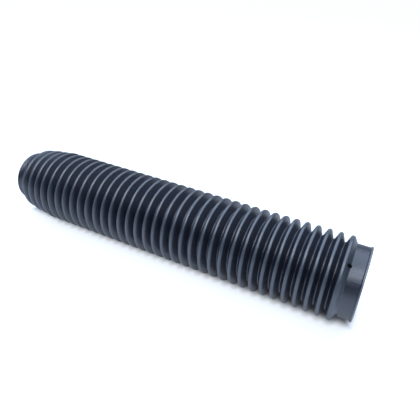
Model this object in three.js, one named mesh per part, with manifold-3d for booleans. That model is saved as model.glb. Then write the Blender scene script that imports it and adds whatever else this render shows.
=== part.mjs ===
// Fork gaiter: a rubber bellows that slips over a motorcycle's fork tube.
// One moulded piece, lying on its side: millimetres, +Z up, its length along X,
// the wide collar toward +X, the full-size folds resting on z = 0.

import * as THREE from 'three';
import { mergeVertices } from 'three/addons/utils/BufferGeometryUtils.js';
import Module from 'manifold-3d';

// Driving dimensions of the folds
const FOLD_COUNT = 35;
const FOLD_PITCH = 8.9;
const CREST_RADIUS = 34;
const VALLEY_RADIUS = 26;
const CREST_LAND = 2.2;
const FOLD_WALL = 2.6;            // measured along the radius: about half of it across a steep flank

// The first folds at the narrow end are smaller, counted from the collar
const LEAD_IN_CREST_RADII = [30.2, 31.9, 32.8];
const LEAD_IN_VALLEY_RADII = [24.8, 25.5];

// Driving dimensions of the two collars
const COLLAR_WALL = 2;
const NARROW_COLLAR_RADIUS = 23.5;
const NARROW_COLLAR_LENGTH = 5.8;
const NARROW_FLANK_RUN = 9;       // a shallow cone from the root of the narrow collar to the first crest
const WIDE_COLLAR_RADIUS = 29;
const WIDE_COLLAR_LENGTH = 11.75;
const BEAD_HEIGHT = 0.8;
const BEAD_WIDTH = 1.2;
const BEAD_SLOPE = 0.8;

// Driving dimensions of the vent holes: one ring of them at the root of each collar
const VENT_COUNT = 4;
const VENT_DIAMETER = 3.6;
const VENT_FIRST_ANGLE = 59;      // degrees above the level of the axis, on the -Y side
const VENT_INSET = 0.8;           // from a collar's root toward the folds, into the foot of the flank
const VENT_SIDES = 10;
const VENT_REACH = 5;             // how far a hole's cutter runs past the collar's wall on each side

// Facets round the axis, turned so that each fold lies flat on its lowest one
const FACETS = 28;
const HALF_FACET = Math.PI / FACETS;

const RUBBER = { name: 'rubber', color: 0x1d2026, roughness: 0.42, metalness: 0 };

// Places along the axis, counted from the rim of the narrow collar
const firstCrestX = NARROW_COLLAR_LENGTH + NARROW_FLANK_RUN;
const wideRootX = firstCrestX + (FOLD_COUNT - 0.5) * FOLD_PITCH;
const totalLength = wideRootX + WIDE_COLLAR_LENGTH;
const axisHeight = CREST_RADIUS * Math.cos(HALF_FACET);

const foldNumbers = Array.from({ length: FOLD_COUNT }, (_, index) => index);

// A crest, and the valley that follows it toward the wide collar
function foldAt(index) {
  const crestX = firstCrestX + index * FOLD_PITCH;
  return {
    crestX,
    valleyX: crestX + FOLD_PITCH / 2,
    crestRadius: LEAD_IN_CREST_RADII[index] ?? CREST_RADIUS,
    valleyRadius: LEAD_IN_VALLEY_RADII[index] ?? VALLEY_RADIUS,
    isLast: index === FOLD_COUNT - 1,
  };
}

// The outside of a collar from its root to its rim: a plain band and a raised bead
function collarOutside(rootX, rimX, bandRadius) {
  const outward = Math.sign(rimX - rootX);
  const beadX = rimX - outward * BEAD_WIDTH;
  const beadRadius = bandRadius + BEAD_HEIGHT;
  return [
    new THREE.Vector2(bandRadius, rootX),
    new THREE.Vector2(bandRadius, beadX - outward * BEAD_SLOPE),
    new THREE.Vector2(beadRadius, beadX),
    new THREE.Vector2(beadRadius, rimX),
  ];
}

// The outside of the folds: a narrow land on each crest and a sharp valley between two
function foldsOutside() {
  return foldNumbers.flatMap((index) => {
    const { crestX, valleyX, crestRadius, valleyRadius, isLast } = foldAt(index);
    const crest = [
      new THREE.Vector2(crestRadius, crestX - CREST_LAND / 2),
      new THREE.Vector2(crestRadius, crestX + CREST_LAND / 2),
    ];
    return isLast ? crest : [...crest, new THREE.Vector2(valleyRadius, valleyX)];
  });
}

// The inside of the folds, which follows the outside one wall further in
function foldsInside() {
  return foldNumbers.flatMap((index) => {
    const { crestX, valleyX, crestRadius, valleyRadius, isLast } = foldAt(index);
    const crest = new THREE.Vector2(crestRadius - FOLD_WALL, crestX);
    return isLast ? [crest] : [crest, new THREE.Vector2(valleyRadius - FOLD_WALL, valleyX)];
  });
}

// The closed section of the wall: along the outside to the wide rim, back along the inside
function wallSection() {
  const narrowBore = NARROW_COLLAR_RADIUS - COLLAR_WALL;
  const wideBore = WIDE_COLLAR_RADIUS - COLLAR_WALL;
  const outside = [
    ...collarOutside(NARROW_COLLAR_LENGTH, 0, NARROW_COLLAR_RADIUS).reverse(),
    ...foldsOutside(),
    ...collarOutside(wideRootX, totalLength, WIDE_COLLAR_RADIUS),
  ];
  const inside = [
    new THREE.Vector2(narrowBore, 0),
    new THREE.Vector2(narrowBore, NARROW_COLLAR_LENGTH),
    ...foldsInside(),
    new THREE.Vector2(wideBore, wideRootX),
    new THREE.Vector2(wideBore, totalLength),
  ];
  return [...outside, ...inside.reverse(), outside[0]];
}

// The section turned round the axis, laid along X with its lowest facet level
function bellowsGeometry() {
  const geometry = new THREE.LatheGeometry(wallSection(), FACETS, HALF_FACET);
  return geometry.rotateZ(-Math.PI / 2);
}

// One cutter for a vent hole, set across the wall beside a collar's root
function ventCutter(holeX, collarRadius, degrees) {
  const length = COLLAR_WALL + 2 * VENT_REACH;
  const middleRadius = collarRadius - COLLAR_WALL / 2;
  const geometry = new THREE.CylinderGeometry(VENT_DIAMETER / 2, VENT_DIAMETER / 2, length, VENT_SIDES);
  geometry.translate(0, middleRadius, 0);
  geometry.rotateX(Math.PI - THREE.MathUtils.degToRad(degrees));
  return geometry.translate(holeX, 0, 0);
}

// The vent cutters of both collars, in line with each other along the gaiter
function ventCutters() {
  const rings = [
    [NARROW_COLLAR_LENGTH + VENT_INSET, NARROW_COLLAR_RADIUS],
    [wideRootX - VENT_INSET, WIDE_COLLAR_RADIUS],
  ];
  const angles = Array.from({ length: VENT_COUNT }, (_, index) => VENT_FIRST_ANGLE + (index * 360) / VENT_COUNT);
  return rings.flatMap(([holeX, radius]) => angles.map((degrees) => ventCutter(holeX, radius, degrees)));
}

const wasm = await Module();
wasm.setup();

// A closed geometry as a solid that can be cut
function toSolid(geometry) {
  const bare = geometry.clone();
  bare.deleteAttribute('normal');
  bare.deleteAttribute('uv');
  const merged = mergeVertices(bare, 1e-3);
  const vertProperties = merged.getAttribute('position').array;
  const triVerts = new Uint32Array(merged.index.array);
  return new wasm.Manifold(new wasm.Mesh({ numProp: 3, vertProperties, triVerts }));
}

// A solid as a geometry again
function toGeometry(solid) {
  const mesh = solid.getMesh();
  const geometry = new THREE.BufferGeometry();
  geometry.setAttribute('position', new THREE.BufferAttribute(mesh.vertProperties, mesh.numProp));
  geometry.setIndex(new THREE.BufferAttribute(mesh.triVerts, 1));
  const faceted = geometry.toNonIndexed();
  faceted.computeVertexNormals();
  return faceted;
}

// The bellows with its vent holes cut
function makeGaiter() {
  const vented = ventCutters().reduce((solid, cutter) => solid.subtract(toSolid(cutter)), toSolid(bellowsGeometry()));
  const gaiter = new THREE.Mesh(toGeometry(vented), new THREE.MeshStandardMaterial(RUBBER));
  gaiter.name = 'gaiter';
  gaiter.position.set(-totalLength / 2, 0, axisHeight);
  return gaiter;
}

const part = new THREE.Group();
part.name = 'fork_gaiter';
part.add(makeGaiter());

export default part;
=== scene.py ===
"""Fork gaiter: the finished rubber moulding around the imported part, its floor, lights and camera.

Lengths in the named values are millimetres, as in the part's source; the scene itself is in metres.
"""

import math

import bpy
import numpy as np
from mathutils import Matrix, Vector


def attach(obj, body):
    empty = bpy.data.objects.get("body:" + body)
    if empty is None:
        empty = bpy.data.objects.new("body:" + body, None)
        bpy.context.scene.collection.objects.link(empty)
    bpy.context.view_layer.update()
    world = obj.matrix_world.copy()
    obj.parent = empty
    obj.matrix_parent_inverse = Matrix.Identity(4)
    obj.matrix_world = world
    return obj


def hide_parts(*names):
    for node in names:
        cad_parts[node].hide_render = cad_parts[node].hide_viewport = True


MM = 0.001

# The part's own dimensions
FOLD_COUNT = 35
FOLD_PITCH = 8.9
CREST_RADIUS = 34.0
VALLEY_RADIUS = 26.0
FOLD_WALL = 2.6
LEAD_IN_CREST_RADII = (30.2, 31.9, 32.8)
LEAD_IN_VALLEY_RADII = (24.8, 25.5)
COLLAR_WALL = 2.0
NARROW_COLLAR_RADIUS = 23.5
NARROW_COLLAR_LENGTH = 5.8
NARROW_FLANK_RUN = 9.0
WIDE_COLLAR_RADIUS = 29.0
WIDE_COLLAR_LENGTH = 11.75
BEAD_HEIGHT = 0.8
BEAD_WIDTH = 1.2
BEAD_SLOPE = 0.8
VENT_COUNT = 4
VENT_DIAMETER = 3.6
VENT_FIRST_ANGLE = 59.0
VENT_INSET = 0.8
FACETS = 28

# Places along the axis, counted from the narrow rim, and the height of the axis above the floor
FIRST_CREST_X = NARROW_COLLAR_LENGTH + NARROW_FLANK_RUN
LAST_CREST_X = FIRST_CREST_X + (FOLD_COUNT - 1) * FOLD_PITCH
WIDE_ROOT_X = LAST_CREST_X + FOLD_PITCH / 2
TOTAL_LENGTH = WIDE_ROOT_X + WIDE_COLLAR_LENGTH
AXIS_HEIGHT = CREST_RADIUS * math.cos(math.pi / FACETS)

# Each ring of vent holes: its place along the axis and the radius of the collar beside it
VENT_RINGS = (
    (NARROW_COLLAR_LENGTH + VENT_INSET, NARROW_COLLAR_RADIUS),
    (WIDE_ROOT_X - VENT_INSET, WIDE_COLLAR_RADIUS),
)

# How the moulding's section is rounded
CREST_WIDTH = 2.4
CREST_ROUND = 1.5
VALLEY_ROUND = 0.8
EDGE_ROUND = 0.45
ROOT_ROUND = 0.9
ARC_SHARE = 0.48                      # the most that an arc takes of each straight stretch beside it
NEARLY_STRAIGHT = math.radians(88)    # past this half angle a corner needs no arc

# How finely the moulding is drawn
SEGMENTS = 96
OUTER_STEP = math.radians(24)
INNER_STEP = math.radians(29)
SHARP_EDGE = math.radians(30)
PIN_SIDES = 20
PIN_REACH = 5.0

# The rubber's colours
RUBBER_DARK = (0.005, 0.007, 0.018)
RUBBER_CLOUD = (0.008, 0.012, 0.027)
# Paler colour: a painted highlight along the crests that is partly rubbed wear, and painted light on the last
# flank
RUBBER_WEAR_AND_PAINTED_LIGHT = (0.070, 0.088, 0.115)
# Colour of the painted highlight on the wide rim's bead
RIM_HIGHLIGHT = (0.19, 0.21, 0.25)
CLOUD_STOPS = (0.3, 0.7)

# Where the rubber is paler: a painted highlight along the crests that is partly rubbed wear, painted light on
# the last flank, and a painted highlight on the bead of the wide rim
CREST_HIGHLIGHT_AND_WEAR_DEPTHS = (0.05, 0.4)              # below the top of a crest: painted highlight and wear whole to here, and no more from here
FLANK_PAINTED_LIGHT = 0.9                     # the share of the paler colour on the last flank: painted light there
FLANK_LIGHT_RISE = 1.5
FLANK_LIGHT_FALL = 0.6
RIM_HIGHLIGHT_FADE = (-0.1, 0.4)                # where the rim's painted highlight fades in, from the start of the rim's bead

# The rubber's gloss
RUBBER_IOR = 1.7
RUBBER_SPECULAR = 1.0
GLOSS_TINT = (0.87, 0.91, 1.0)
BASE_ROUGHNESS = 0.21
CLOUD_ROUGHNESS = 0.10
MARK_ROUGHNESS = 0.20
VENT_WALL_ROUGHNESS = 0.9
VENT_WALL_FADE = (0.02, 0.1)

# The rubber's skin: noise cells to a radian or to a metre, their layers, and the relief they give
MARKS_TO_RADIAN = 45.0
MARKS_TO_METRE = 40.0
MARK_LAYERS = 3.0
GRAIN_TO_METRE = 1800.0
GRAIN_LAYERS = 2.0
CLOUDS_TO_METRE = 28.0
CLOUD_LAYERS = 4.0
LAYER_WEIGHT = 0.6                    # of each finer layer of the marks and the clouds
GRAIN_LAYER_WEIGHT = 0.5
MARK_SHARE = 0.7
SKIN_STRENGTH = 0.6
SKIN_DEPTH = 0.28

# The floor, and its glow, which fades where something touches it and is faint beneath the gaiter: a painted
# shadow of the gaiter
FLOOR_REACH = 12000.0
FLOOR_COLOUR = (0.53, 0.61, 0.72)
FLOOR_ROUGHNESS = 0.3
FLOOR_SPECULAR = 0.35
GLOW_COLOUR = (0.92, 0.95, 1.0)
GLOW_NEAR = 0.82
GLOW_FAR = 1.0
GLOW_DISTANCES = (300.0, 1200.0)
GLOW_MIRRORED = 0.45
GLOW_BENEATH = 0.1
BENEATH_SIDES = (8.0, 19.0)
BENEATH_ENDS = (160.0, 172.0)
CONTACT_REACH = 6.0
CONTACT_SAMPLES = 12
CONTACT_POWER = 1.5

# The room: a white backdrop for the camera, dim and even light, and walls that show in reflections
BACKDROP_COLOUR = (1.0, 1.0, 1.0)
ROOM_COLOUR = (0.6, 0.74, 1.0)
ROOM_LIGHT = 0.04
DIM_WALL = 0.07
PALE_WALL = 0.2
WALL_FADE = (-0.2, 0.6)
TOWARD_LEFT = 0.8
TOWARD_BACK = 0.6

# Two softboxes, a long one above the camera and a large one overhead behind, with their watts
LIGHT_TARGET = (0.0, 0.0, 30.0)
SOFTBOXES = (
    ("softbox_front", (-100.0, -340.0, 860.0), (1600.0, 520.0), 7.4, (0.84, 0.91, 1.0)),
    ("softbox_back", (0.0, 480.0, 790.0), (1500.0, 1120.0), 7.4, (0.72, 0.84, 1.0)),
)

# The camera: its place, its turns in degrees, and its focal length in pixels of the frame
CAMERA_PLACE = (156.4, -253.9, 246.0)
CAMERA_YAW = 25.32
CAMERA_PITCH = 33.75
CAMERA_ROLL = 2.55
FOCAL_PIXELS = 402.4
FRAME_PIXELS = 420
SENSOR_WIDTH = 36.0
CAMERA_CLIP = 10.0


def arc(before, corner, after, radius, largest_step):
    """The points that round a corner of a line with a circle's arc."""
    back = before - corner
    ahead = after - corner
    back_length = np.linalg.norm(back)
    ahead_length = np.linalg.norm(ahead)
    back = back / back_length
    ahead = ahead / ahead_length
    half = math.acos(float(np.clip(back @ ahead, -1, 1))) / 2
    if half > NEARLY_STRAIGHT:
        return [corner]
    run = min(radius / math.tan(half), ARC_SHARE * back_length, ARC_SHARE * ahead_length)
    centre = corner + (back + ahead) / 2 * run / math.cos(half) ** 2
    start = corner + back * run - centre
    end = corner + ahead * run - centre
    turn = math.pi - 2 * half
    count = math.ceil(turn / largest_step)

    def point(share):
        mixed = math.sin((1 - share) * turn) * start + math.sin(share * turn) * end
        return centre + mixed / math.sin(turn)

    return [point(share) for share in np.arange(count + 1) / count]


def fold(index):
    """A crest's place and radius, and those of the valley after it."""
    crest_x = FIRST_CREST_X + index * FOLD_PITCH
    crest = LEAD_IN_CREST_RADII[index] if index < len(LEAD_IN_CREST_RADII) else CREST_RADIUS
    valley = LEAD_IN_VALLEY_RADII[index] if index < len(LEAD_IN_VALLEY_RADII) else VALLEY_RADIUS
    return crest_x, crest, crest_x + FOLD_PITCH / 2, valley


def outside_line():
    """The outer line from the narrow rim to the wide rim: (x, radius) corners, each with its rounding."""
    line = [
        ((0, NARROW_COLLAR_RADIUS + BEAD_HEIGHT), EDGE_ROUND),
        ((BEAD_WIDTH, NARROW_COLLAR_RADIUS + BEAD_HEIGHT), EDGE_ROUND),
        ((BEAD_WIDTH + BEAD_SLOPE, NARROW_COLLAR_RADIUS), EDGE_ROUND),
        ((NARROW_COLLAR_LENGTH, NARROW_COLLAR_RADIUS), ROOT_ROUND),
    ]
    for index in range(FOLD_COUNT):
        crest_x, crest, valley_x, valley = fold(index)
        line.append(((crest_x - CREST_WIDTH / 2, crest), CREST_ROUND))
        line.append(((crest_x + CREST_WIDTH / 2, crest), CREST_ROUND))
        if index < FOLD_COUNT - 1:
            line.append(((valley_x, valley), VALLEY_ROUND))
    line += [
        ((WIDE_ROOT_X, WIDE_COLLAR_RADIUS), ROOT_ROUND),
        ((TOTAL_LENGTH - BEAD_WIDTH - BEAD_SLOPE, WIDE_COLLAR_RADIUS), EDGE_ROUND),
        ((TOTAL_LENGTH - BEAD_WIDTH, WIDE_COLLAR_RADIUS + BEAD_HEIGHT), EDGE_ROUND),
        ((TOTAL_LENGTH, WIDE_COLLAR_RADIUS + BEAD_HEIGHT), EDGE_ROUND),
    ]
    return line


def inside_line():
    """The inner line from the wide rim back to the narrow rim, in the same form."""
    narrow_bore = NARROW_COLLAR_RADIUS - COLLAR_WALL
    wide_bore = WIDE_COLLAR_RADIUS - COLLAR_WALL
    line = [((TOTAL_LENGTH, wide_bore), EDGE_ROUND), ((WIDE_ROOT_X, wide_bore), ROOT_ROUND)]
    for index in reversed(range(FOLD_COUNT)):
        crest_x, crest, valley_x, valley = fold(index)
        if index < FOLD_COUNT - 1:
            line.append(((valley_x, valley - FOLD_WALL), VALLEY_ROUND))
        line.append(((crest_x, crest - FOLD_WALL), VALLEY_ROUND))
    line += [((NARROW_COLLAR_LENGTH, narrow_bore), ROOT_ROUND), ((0, narrow_bore), EDGE_ROUND)]
    return line


def closed_section():
    """The whole section of the wall as one closed line of (x, radius) points, its corners rounded."""
    line = [(place, rounding, OUTER_STEP) for place, rounding in outside_line()]
    line += [(place, rounding, INNER_STEP) for place, rounding in inside_line()]
    places = [np.array(place, float) for place, _, _ in line]
    section = []
    for index, (_, rounding, largest_step) in enumerate(line):
        after = places[(index + 1) % len(line)]
        section += arc(places[index - 1], places[index], after, rounding, largest_step)
    return np.array(section)


def turned(section):
    """Vertices and faces of a closed section turned round the gaiter's axis."""
    turns = np.arange(SEGMENTS) * 2 * math.pi / SEGMENTS
    across = section[:, 1][None, :]
    xs = np.broadcast_to(section[:, 0] - TOTAL_LENGTH / 2, (SEGMENTS, len(section)))
    ys = -across * np.cos(turns)[:, None]
    zs = across * np.sin(turns)[:, None] + AXIS_HEIGHT
    vertices = np.stack([xs, ys, zs], -1).reshape(-1, 3)
    count = len(section)
    i, j = np.meshgrid(np.arange(SEGMENTS), np.arange(count), indexing="ij")
    i2 = (i + 1) % SEGMENTS
    j2 = (j + 1) % count
    faces = np.stack([i * count + j, i2 * count + j, i2 * count + j2, i * count + j2], -1).reshape(-1, 4)
    return vertices, faces.tolist()


def add_object(name, data):
    """An object in the scene with the given data."""
    obj = bpy.data.objects.new(name, data)
    bpy.context.scene.collection.objects.link(obj)
    return obj


def add_mesh(name, vertices, faces):
    """A mesh object from millimetre vertices."""
    mesh = bpy.data.meshes.new(name)
    mesh.from_pydata((np.array(vertices) * MM).tolist(), [], faces)
    return add_object(name, mesh)


def vent_pin(hole_x, collar_radius, angle):
    """Corners and faces of the pin for one vent hole, at an angle above the level of the axis."""
    along = np.array([1, 0, 0])
    outward = np.array([0, -math.cos(angle), math.sin(angle)])
    sideways = np.array([0, math.sin(angle), math.cos(angle)])
    centre = np.array([hole_x - TOTAL_LENGTH / 2, 0, AXIS_HEIGHT])
    turns = np.arange(PIN_SIDES) * 2 * math.pi / PIN_SIDES
    ring = [VENT_DIAMETER / 2 * (math.cos(turn) * along + math.sin(turn) * sideways) for turn in turns]
    inner_end = centre + outward * (collar_radius - COLLAR_WALL - PIN_REACH)
    outer_end = centre + outward * (collar_radius + PIN_REACH)
    corners = [end + step for end in (inner_end, outer_end) for step in ring]
    faces = [list(range(PIN_SIDES))[::-1], list(range(PIN_SIDES, 2 * PIN_SIDES))]
    for k in range(PIN_SIDES):
        k2 = (k + 1) % PIN_SIDES
        faces.append([k, k2, PIN_SIDES + k2, PIN_SIDES + k])
    return corners, faces


def vent_cutters():
    """One joined mesh of the pins that cut the vent holes beside both collars."""
    vertices = []
    faces = []
    for hole_x, collar_radius in VENT_RINGS:
        for index in range(VENT_COUNT):
            angle = math.radians(VENT_FIRST_ANGLE + index * 360 / VENT_COUNT)
            corners, pin_faces = vent_pin(hole_x, collar_radius, angle)
            first = len(vertices)
            vertices += corners
            faces += [[first + corner for corner in face] for face in pin_faces]
    return add_mesh("vent_pins", vertices, faces)


def make_gaiter():
    """The moulding: its section turned round, rested flat on the floor, its vents cut."""
    vertices, faces = turned(closed_section())
    vertices[:, 2] = np.maximum(vertices[:, 2], 0)
    gaiter = add_mesh("gaiter_moulding", vertices, faces)
    pins = vent_cutters()
    cut = gaiter.modifiers.new("vents", "BOOLEAN")
    cut.operation = "DIFFERENCE"
    cut.object = pins
    cut.solver = "EXACT"
    bpy.context.view_layer.objects.active = gaiter
    bpy.ops.object.modifier_apply(modifier=cut.name)
    bpy.data.objects.remove(pins)
    gaiter.data.polygons.foreach_set("use_smooth", [True] * len(gaiter.data.polygons))
    gaiter.data.set_sharp_from_angle(angle=SHARP_EDGE)
    return gaiter


def opaque(colour):
    """A colour with full cover."""
    return (*colour, 1.0)


class Nodes:
    """Short calls that add and join the nodes of a new material or of a world."""

    def __init__(self, owner):
        owner.use_nodes = True
        self.tree = owner.node_tree
        self.tree.nodes.clear()

    def add(self, kind, **settings):
        node = self.tree.nodes.new(kind)
        for key, value in settings.items():
            setattr(node, key, value)
        return node

    def join(self, source, target):
        self.tree.links.new(source, target)

    def math(self, operation, first, second=0.0):
        """An operation on one value or two, each another node's output or a number."""
        node = self.add("ShaderNodeMath", operation=operation)
        for socket, value in zip(node.inputs, (first, second)):
            if hasattr(value, "is_output"):
                self.join(value, socket)
            else:
                socket.default_value = value
        return node.outputs[0]

    def plus(self, first, second):
        return self.math("ADD", first, second)

    def minus(self, first, second):
        return self.math("SUBTRACT", first, second)

    def times(self, first, second):
        return self.math("MULTIPLY", first, second)

    def larger(self, first, second):
        return self.math("MAXIMUM", first, second)

    def size_of(self, value):
        return self.math("ABSOLUTE", value)

    def spread(self, value, low, high, at_low, at_high, kind="SMOOTHSTEP"):
        """A value taken from one range to another and held at its ends."""
        node = self.add("ShaderNodeMapRange", interpolation_type=kind)
        self.join(value, node.inputs["Value"])
        for name, number in (("From Min", low), ("From Max", high), ("To Min", at_low), ("To Max", at_high)):
            node.inputs[name].default_value = number
        return node.outputs["Result"]

    def parts(self, vector):
        """The outputs X, Y and Z of a vector."""
        node = self.add("ShaderNodeSeparateXYZ")
        self.join(vector, node.inputs["Vector"])
        return node.outputs

    def pair(self, first, second):
        """A vector of two values."""
        node = self.add("ShaderNodeCombineXYZ")
        self.join(first, node.inputs["X"])
        self.join(second, node.inputs["Y"])
        return node.outputs["Vector"]

    def length(self, vector):
        node = self.add("ShaderNodeVectorMath", operation="LENGTH")
        self.join(vector, node.inputs[0])
        return node.outputs["Value"]

    def noise(self, vector, scale, layers, weight):
        """Noise between nothing and one, each finer layer with a weight of the one before."""
        node = self.add("ShaderNodeTexNoise")
        node.inputs["Scale"].default_value = scale
        node.inputs["Detail"].default_value = layers
        node.inputs["Roughness"].default_value = weight
        self.join(vector, node.inputs["Vector"])
        return node.outputs["Fac"]

    def ramp(self, factor, places, colours):
        """A colour taken from the first to the second as a factor goes between two places."""
        node = self.add("ShaderNodeValToRGB")
        for element, place, colour in zip(node.color_ramp.elements, places, colours):
            element.position = place
            element.color = opaque(colour)
        self.join(factor, node.inputs["Fac"])
        return node.outputs["Color"]

    def blend(self, share, first, colour):
        """An output's colour with a share of a fixed one."""
        node = self.add("ShaderNodeMix", data_type="RGBA")
        self.join(share, node.inputs["Factor"])
        self.join(first, node.inputs["A"])
        node.inputs["B"].default_value = opaque(colour)
        return node.outputs["Result"]

    def mirrored(self, path):
        """One for a ray that reflects or refracts, and nothing for others."""
        return self.larger(path["Is Glossy Ray"], path["Is Transmission Ray"])


def centred(x):
    """A place along the axis as the scene's X, in metres."""
    return (x - TOTAL_LENGTH / 2) * MM


def wear_and_painted_light_share(n, x, radius):
    """How much paler colour shows: all of it along the crests, a painted highlight that is partly rubbed
    wear, and painted light on the last flank.
    """
    full_crest_x = FIRST_CREST_X + len(LEAD_IN_CREST_RADII) * FOLD_PITCH
    lowest = LEAD_IN_CREST_RADII[0] * MM
    crest = n.spread(x, centred(FIRST_CREST_X), centred(full_crest_x), lowest, CREST_RADIUS * MM, "LINEAR")
    full_to, ends = CREST_HIGHLIGHT_AND_WEAR_DEPTHS
    # Painted highlight along the crests, partly rubbed wear
    crest_highlight_and_wear = n.spread(n.minus(crest, radius), full_to * MM, ends * MM, 1.0, 0.0)
    # Painted light on the last flank
    rise = n.spread(x, centred(LAST_CREST_X), centred(LAST_CREST_X + FLANK_LIGHT_RISE), 0.0, FLANK_PAINTED_LIGHT)
    fall = n.spread(x, centred(WIDE_ROOT_X), centred(WIDE_ROOT_X + FLANK_LIGHT_FALL), 1.0, 0.0)
    return n.larger(crest_highlight_and_wear, n.times(rise, fall))


def rim_highlight_share(n, x, radius):
    """How much of the rim's painted highlight shows: all of it on the bead of the wide rim."""
    bead_x = TOTAL_LENGTH - BEAD_WIDTH
    begins, full = RIM_HIGHLIGHT_FADE
    at_bead = n.spread(x, centred(bead_x + begins), centred(bead_x + full), 0.0, 1.0)
    outside = n.spread(radius, WIDE_COLLAR_RADIUS * MM, (WIDE_COLLAR_RADIUS + BEAD_HEIGHT / 2) * MM, 0.0, 1.0)
    return n.times(at_bead, outside)


def vent_walls(n, x, turn, radius):
    """One on the cut walls of the vent holes and nothing elsewhere."""
    narrow, wide = (n.size_of(n.minus(x, centred(hole_x))) for hole_x, _ in VENT_RINGS)
    beside = n.math("MINIMUM", wide, narrow)
    half_count = VENT_COUNT / 2
    swing = n.plus(n.times(turn, half_count), math.radians(VENT_FIRST_ANGLE) * half_count)
    around = n.times(n.times(n.math("SINE", swing), radius), 1 / half_count)
    full, ends = VENT_WALL_FADE
    edge = VENT_DIAMETER / 2
    return n.spread(n.length(n.pair(around, beside)), (edge + full) * MM, (edge + ends) * MM, 1.0, 0.0)


def rubber_material():
    """Satin black moulded rubber: faint clouds, fine marks down the flanks and a grained skin, with painted
    highlights along the crests and on the wide rim, and painted light on the last flank.
    """
    material = bpy.data.materials.new("rubber")
    n = Nodes(material)
    surface = n.add("ShaderNodeBsdfPrincipled")
    output = n.add("ShaderNodeOutputMaterial")
    n.join(surface.outputs["BSDF"], output.inputs["Surface"])

    # Where a point is: along the axis, out from it and round it
    place = n.add("ShaderNodeTexCoord").outputs["Object"]
    x, y, z = n.parts(place)
    above = n.minus(z, AXIS_HEIGHT * MM)
    turn = n.math("ARCTAN2", above, y)
    radius = n.length(n.pair(y, above))

    # Marks that run along the radius are noise drawn out along x and wound round the axis
    wound = n.pair(n.times(turn, MARKS_TO_RADIAN), n.times(x, MARKS_TO_METRE))
    marks = n.noise(wound, 1.0, MARK_LAYERS, LAYER_WEIGHT)
    grain = n.noise(place, GRAIN_TO_METRE, GRAIN_LAYERS, GRAIN_LAYER_WEIGHT)
    clouds = n.noise(place, CLOUDS_TO_METRE, CLOUD_LAYERS, LAYER_WEIGHT)

    colour = n.ramp(clouds, CLOUD_STOPS, (RUBBER_DARK, RUBBER_CLOUD))
    # Painted highlight along the crests, partly rubbed wear, and painted light on the last flank
    colour = n.blend(wear_and_painted_light_share(n, x, radius), colour, RUBBER_WEAR_AND_PAINTED_LIGHT)
    # Painted highlight on the bead of the wide rim
    colour = n.blend(rim_highlight_share(n, x, radius), colour, RIM_HIGHLIGHT)
    n.join(colour, surface.inputs["Base Color"])

    rough = n.plus(n.times(clouds, CLOUD_ROUGHNESS), BASE_ROUGHNESS)
    rough = n.plus(rough, n.times(marks, MARK_ROUGHNESS))
    rough = n.larger(rough, n.times(vent_walls(n, x, turn, radius), VENT_WALL_ROUGHNESS))
    n.join(rough, surface.inputs["Roughness"])
    surface.inputs["IOR"].default_value = RUBBER_IOR
    surface.inputs["Specular IOR Level"].default_value = RUBBER_SPECULAR
    surface.inputs["Specular Tint"].default_value = opaque(GLOSS_TINT)

    bump = n.add("ShaderNodeBump")
    bump.inputs["Strength"].default_value = SKIN_STRENGTH
    bump.inputs["Distance"].default_value = SKIN_DEPTH * MM
    height = n.plus(n.times(marks, MARK_SHARE), n.times(grain, 1 - MARK_SHARE))
    n.join(height, bump.inputs["Height"])
    n.join(bump.outputs["Normal"], surface.inputs["Normal"])
    return material


def glow_strength(n):
    """The floor's glow: whole to the camera, less in mirrors, and fading toward the gaiter; faint beneath the
    gaiter and dimmed where something touches the floor, a painted shadow.
    """
    path = n.add("ShaderNodeLightPath").outputs
    seen = n.plus(path["Is Camera Ray"], n.times(n.mirrored(path), GLOW_MIRRORED))
    place = n.add("ShaderNodeTexCoord").outputs["Object"]
    near_end, far_end = GLOW_DISTANCES
    fill = n.spread(n.length(place), near_end * MM, far_end * MM, GLOW_NEAR, GLOW_FAR)

    x, y, _ = n.parts(place)
    inner_side, outer_side = BENEATH_SIDES
    inner_end, outer_end = BENEATH_ENDS
    # Painted shadow: the glow is faint beneath the gaiter's body
    beside = n.spread(n.size_of(y), inner_side * MM, outer_side * MM, GLOW_BENEATH, 1.0)
    beyond = n.spread(n.size_of(x), inner_end * MM, outer_end * MM, 0.0, 1.0)
    fill = n.times(fill, n.larger(beside, beyond))

    # Painted contact shadow: the glow dims where the floor lies close to something
    near = n.add("ShaderNodeAmbientOcclusion", samples=CONTACT_SAMPLES)
    near.inputs["Distance"].default_value = CONTACT_REACH * MM
    clear = n.math("POWER", near.outputs["AO"], CONTACT_POWER)
    return n.times(n.times(seen, clear), fill)


def floor_material():
    """A pale, slightly glossy table top that glows white away from where something touches it; its dimmer
    glow there is a painted contact shadow.
    """
    material = bpy.data.materials.new("table_white")
    n = Nodes(material)
    surface = n.add("ShaderNodeBsdfPrincipled")
    surface.inputs["Base Color"].default_value = opaque(FLOOR_COLOUR)
    surface.inputs["Roughness"].default_value = FLOOR_ROUGHNESS
    surface.inputs["Specular IOR Level"].default_value = FLOOR_SPECULAR
    glow = n.add("ShaderNodeEmission")
    glow.inputs["Color"].default_value = opaque(GLOW_COLOUR)
    n.join(glow_strength(n), glow.inputs["Strength"])
    both = n.add("ShaderNodeAddShader")
    n.join(surface.outputs["BSDF"], both.inputs[0])
    n.join(glow.outputs["Emission"], both.inputs[1])
    output = n.add("ShaderNodeOutputMaterial")
    n.join(both.outputs["Shader"], output.inputs["Surface"])
    return material


def make_floor():
    """The table top, reaching past everything that the camera sees of it."""
    reach = FLOOR_REACH
    corners = [(-reach, -reach, 0), (reach, -reach, 0), (reach, reach, 0), (-reach, reach, 0)]
    floor = add_mesh("table", corners, [(0, 1, 2, 3)])
    floor.data.materials.append(floor_material())


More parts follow.
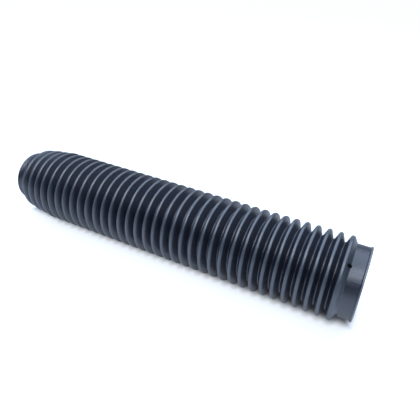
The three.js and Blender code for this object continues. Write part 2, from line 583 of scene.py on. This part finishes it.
def add_softbox(name, place, size, power, colour):
    """A rectangular soft light, turned toward the gaiter."""
    light = bpy.data.lights.new(name, "AREA")
    light.shape = "RECTANGLE"
    light.size, light.size_y = (side * MM for side in size)
    light.energy = power
    light.color = colour
    obj = add_object(name, light)
    obj.location = Vector(place) * MM
    toward = Vector(LIGHT_TARGET) - Vector(place)
    obj.rotation_euler = toward.to_track_quat("-Z", "Y").to_euler()


def make_room():
    """A white backdrop to the camera, and round the gaiter a dim room with paler walls left and behind."""
    world = bpy.data.worlds.new("room")
    bpy.context.scene.world = world
    n = Nodes(world)
    x, y, _ = n.parts(n.add("ShaderNodeTexCoord").outputs["Generated"])
    toward = n.minus(n.times(y, TOWARD_BACK), n.times(x, TOWARD_LEFT))
    dim_to, pale_from = WALL_FADE
    wall = n.spread(toward, dim_to, pale_from, DIM_WALL, PALE_WALL)
    path = n.add("ShaderNodeLightPath").outputs
    room = n.add("ShaderNodeBackground")
    room.inputs["Color"].default_value = opaque(ROOM_COLOUR)
    n.join(n.plus(n.times(n.mirrored(path), wall), ROOM_LIGHT), room.inputs["Strength"])
    backdrop = n.add("ShaderNodeBackground")
    backdrop.inputs["Color"].default_value = opaque(BACKDROP_COLOUR)
    mixed = n.add("ShaderNodeMixShader")
    n.join(path["Is Camera Ray"], mixed.inputs[0])
    n.join(room.outputs["Background"], mixed.inputs[1])
    n.join(backdrop.outputs["Background"], mixed.inputs[2])
    output = n.add("ShaderNodeOutputWorld")
    n.join(mixed.outputs["Shader"], output.inputs["Surface"])


def make_camera():
    """The camera, set by its yaw from +Y, its pitch down and its roll."""
    data = bpy.data.cameras.new("camera")
    data.sensor_width = SENSOR_WIDTH
    data.lens = FOCAL_PIXELS / FRAME_PIXELS * SENSOR_WIDTH
    data.clip_start = CAMERA_CLIP * MM
    camera = add_object("camera", data)
    yaw, pitch, roll = (math.radians(degrees) for degrees in (CAMERA_YAW, CAMERA_PITCH, CAMERA_ROLL))
    forward = Vector((-math.sin(yaw) * math.cos(pitch), math.cos(yaw) * math.cos(pitch), -math.sin(pitch)))
    level = forward.cross(Vector((0, 0, 1))).normalized()
    upright = level.cross(forward)
    right = math.cos(roll) * level + math.sin(roll) * upright
    up = math.cos(roll) * upright - math.sin(roll) * level
    turn = Matrix((right, up, -forward)).transposed().to_4x4()
    camera.matrix_world = Matrix.Translation(Vector(CAMERA_PLACE) * MM) @ turn
    bpy.context.scene.camera = camera


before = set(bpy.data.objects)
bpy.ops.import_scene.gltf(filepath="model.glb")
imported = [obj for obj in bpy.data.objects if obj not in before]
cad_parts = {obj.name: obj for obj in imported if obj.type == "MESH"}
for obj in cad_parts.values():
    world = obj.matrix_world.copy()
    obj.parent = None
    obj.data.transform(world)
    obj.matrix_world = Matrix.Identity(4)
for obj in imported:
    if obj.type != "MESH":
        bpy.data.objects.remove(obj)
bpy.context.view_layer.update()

gaiter = make_gaiter()
gaiter.data.materials.clear()
gaiter.data.materials.append(rubber_material())
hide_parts("gaiter")
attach(gaiter, "root")

make_floor()
for softbox in SOFTBOXES:
    add_softbox(*softbox)
make_room()
make_camera()
bpy.context.scene.view_settings.view_transform = "Standard"
